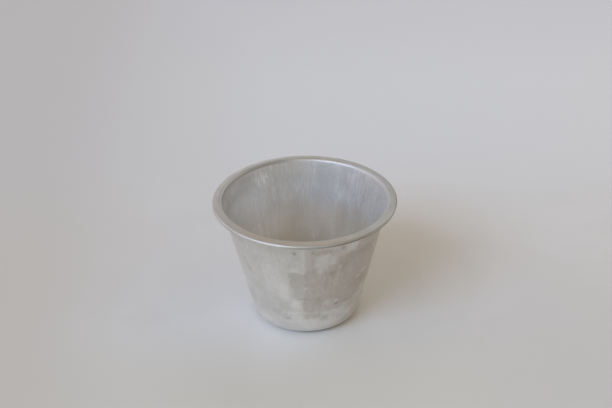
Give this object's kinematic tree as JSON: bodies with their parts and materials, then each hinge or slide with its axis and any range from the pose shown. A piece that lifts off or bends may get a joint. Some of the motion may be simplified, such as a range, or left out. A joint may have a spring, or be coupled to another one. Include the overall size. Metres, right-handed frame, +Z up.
{
  "type": "baking cup",
  "caption": "Small flared baking cup drawn from thin aluminium sheet, with a flat base, a rounded corner and a flat-topped rolled rim stiffened by a wire ring.",
  "frame": {"origin": "middle of the underside of the base, on the surface that the cup stands on", "axes": "+Z up along the axis of the cup; X and Y across it, alike in every direction"},
  "size_m": [0.07, 0.07, 0.049],
  "materials": {
    "dull_aluminium": "satin, worn and stained by use",
    "steel_wire": "plain drawn wire"
  },
  "bodies": {
    "root": {"cup_shell": "dull_aluminium", "rim_wire": "steel_wire"}
  },
  "joints": []
}
